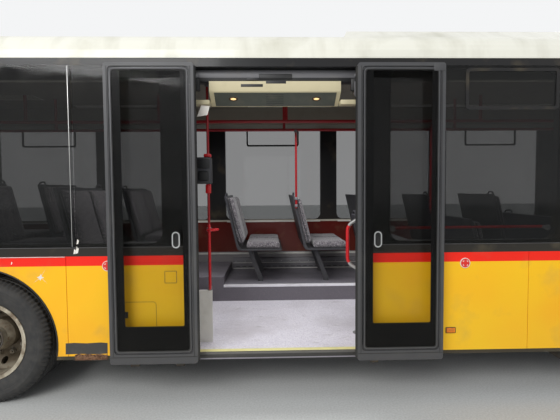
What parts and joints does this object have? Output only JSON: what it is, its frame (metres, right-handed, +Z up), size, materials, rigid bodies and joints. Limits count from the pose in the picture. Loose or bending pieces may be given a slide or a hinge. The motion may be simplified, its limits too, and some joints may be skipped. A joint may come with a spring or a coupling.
{
  "type": "low-floor passenger bus",
  "caption": "Long low-floor passenger bus with an open outward sliding double door amidships, an inward swinging front double door, steered front wheels and twin rear wheels.",
  "frame": {"origin": "on the ground at the middle of the bounding box, half way along the body and midway between the mirrors", "axes": "+X forward, +Y to the driver's side (left), +Z up"},
  "size_m": [11.95, 3, 2.96],
  "materials": {
    "body_yellow": "gloss",
    "body_black": "satin",
    "roof_white": "gloss",
    "door_grey": "satin",
    "tinted_glass": "gloss",
    "clear_glass": "gloss",
    "inner_lining": "matte",
    "floor_covering": "matte",
    "chassis_steel": "matte",
    "cast_parts": "matte",
    "wheel_steel": "satin",
    "tyre_rubber": "matte",
    "seat_fabric": "matte",
    "seat_shell": "satin",
    "rail_red": "gloss",
    "black_plastic": "matte",
    "lamp_clear": "gloss",
    "lamp_red": "gloss",
    "screen_beige": "satin",
    "bright_steel": "satin"
  },
  "bodies": {
    "vehicle": {"underframe_front": "chassis_steel", "underframe_rear": "chassis_steel", "floor": "floor_covering", "platforms": "floor_covering", "wheel_housings": "floor_covering", "side_panels_right": "body_yellow", "side_panels_left": "body_yellow", "window_frame_right": "body_black", "window_frame_left": "body_black", "side_windows": "tinted_glass", "windscreen": "clear_glass", "roof": "roof_white", "hatch_frames": "roof_white", "roof_unit": "roof_white", "ceiling": "inner_lining", "front_mask": "body_yellow", "destination_display": "black_plastic", "headlamps": "lamp_clear", "rear_body": "body_yellow", "tail_lamps": "lamp_red", "mirrors": "black_plastic", "wipers": "black_plastic", "seat_frames": "seat_shell", "seat_cushions": "seat_fabric", "handrails": "rail_red", "screens": "screen_beige", "ticket_validator": "black_plastic", "driver_seat": "seat_fabric", "dashboard": "black_plastic", "door_drives": "screen_beige", "middle_door_frames": "door_grey", "middle_door_glass": "tinted_glass", "axles": "cast_parts", "engine": "cast_parts"},
    "knuckle_left": {"knuckle_left": "cast_parts"},
    "knuckle_right": {"knuckle_right": "cast_parts"},
    "tie_rod": {"tie_rod": "bright_steel"},
    "front_wheel_left": {"wheel_front_left": "wheel_steel", "tyre_front_left": "tyre_rubber"},
    "front_wheel_right": {"wheel_front_right": "wheel_steel", "tyre_front_right": "tyre_rubber"},
    "rear_wheels_left": {"wheel_rear_left": "wheel_steel", "tyres_rear_left": "tyre_rubber"},
    "rear_wheels_right": {"wheel_rear_right": "wheel_steel", "tyres_rear_right": "tyre_rubber"},
    "steering_wheel": {"steering_wheel": "black_plastic"},
    "arm_fore": {"arm_fore": "bright_steel"},
    "front_leaf_fore": {"front_leaf_fore": "door_grey", "front_glass_fore": "tinted_glass"},
    "arm_aft": {"arm_aft": "bright_steel"},
    "front_leaf_aft": {"front_leaf_aft": "door_grey", "front_glass_aft": "tinted_glass"},
    "engine_lid": {"engine_lid": "body_yellow"},
    "roof_hatch_front": {"roof_hatch_front": "roof_white"},
    "roof_hatch_rear": {"roof_hatch_rear": "roof_white"},
    "cab_door": {"cab_door": "screen_beige"}
  },
  "joints": [
    {"name": "steer_left", "type": "hinge", "parent": "vehicle", "child": "knuckle_left", "pos_m": [3.275, 0.9175, 0.4785], "axis": [0, 0, 1], "range_deg": [-40, 40]},
    {"name": "steer_right", "type": "hinge", "parent": "vehicle", "child": "knuckle_right", "pos_m": [3.275, -0.9175, 0.4785], "axis": [0, 0, 1], "range_deg": [-40, 40]},
    {"name": "tie_rod_end", "type": "hinge", "parent": "knuckle_left", "child": "tie_rod", "pos_m": [3.085, 0.9175, 0.298], "axis": [0, 0, 1], "range_deg": [-40, 40]},
    {"name": "steering_column", "type": "hinge", "parent": "vehicle", "child": "steering_wheel", "pos_m": [5.12, 0.72, 1.09], "axis": [-0.4695, 0, 0.8829], "range_deg": [-720, 720]},
    {"name": "wheel_front_left_spin", "type": "hinge", "parent": "knuckle_left", "child": "front_wheel_left", "pos_m": [3.275, 1.0975, 0.4785], "axis": [0, 1, 0], "continuous": true},
    {"name": "wheel_front_right_spin", "type": "hinge", "parent": "knuckle_right", "child": "front_wheel_right", "pos_m": [3.275, -1.0975, 0.4785], "axis": [0, 1, 0], "continuous": true},
    {"name": "wheels_rear_left_spin", "type": "hinge", "parent": "vehicle", "child": "rear_wheels_left", "pos_m": [-2.585, 1.0975, 0.4785], "axis": [0, 1, 0], "continuous": true},
    {"name": "wheels_rear_right_spin", "type": "hinge", "parent": "vehicle", "child": "rear_wheels_right", "pos_m": [-2.585, -1.0975, 0.4785], "axis": [0, 1, 0], "continuous": true},
    {"name": "front_door_fore_post", "type": "hinge", "parent": "vehicle", "child": "arm_fore", "pos_m": [5.355, -1.19, 0.4], "axis": [0, 0, -1], "range_deg": [0, 78]},
    {"name": "front_door_fore_leaf", "type": "hinge", "parent": "arm_fore", "child": "front_leaf_fore", "pos_m": [5.0415, -1.19, 0.4], "axis": [0, 0, 1], "range_deg": [0, 156]},
    {"name": "front_door_aft_post", "type": "hinge", "parent": "vehicle", "child": "arm_aft", "pos_m": [4.055, -1.19, 0.4], "axis": [0, 0, 1], "range_deg": [0, 78]},
    {"name": "front_door_aft_leaf", "type": "hinge", "parent": "arm_aft", "child": "front_leaf_aft", "pos_m": [4.3685, -1.19, 0.4], "axis": [0, 0, -1], "range_deg": [0, 156]},
    {"name": "engine_lid_hinge", "type": "hinge", "parent": "vehicle", "child": "engine_lid", "pos_m": [-5.963, 0, 1.156], "axis": [0, 1, 0], "range_deg": [0, 80]},
    {"name": "hatch_front_hinge", "type": "hinge", "parent": "vehicle", "child": "roof_hatch_front", "pos_m": [4.548, 0, 2.893], "axis": [0, 1, 0], "range_deg": [0, 45]},
    {"name": "hatch_rear_hinge", "type": "hinge", "parent": "vehicle", "child": "roof_hatch_rear", "pos_m": [-2.852, 0, 2.893], "axis": [0, 1, 0], "range_deg": [0, 45]},
    {"name": "cab_door_hinge", "type": "hinge", "parent": "vehicle", "child": "cab_door", "pos_m": [4.176, 0.233, 1], "axis": [0, 0, -1], "range_deg": [0, 90]}
  ],
  "couplings": [
    {"joint": "steer_right", "follows": "steer_left", "ratio": 1},
    {"joint": "tie_rod_end", "follows": "steer_left", "ratio": -1},
    {"joint": "steering_column", "follows": "steer_left", "ratio": 18},
    {"joint": "front_door_fore_leaf", "follows": "front_door_fore_post", "ratio": 2},
    {"joint": "front_door_aft_leaf", "follows": "front_door_aft_post", "ratio": 2}
  ]
}
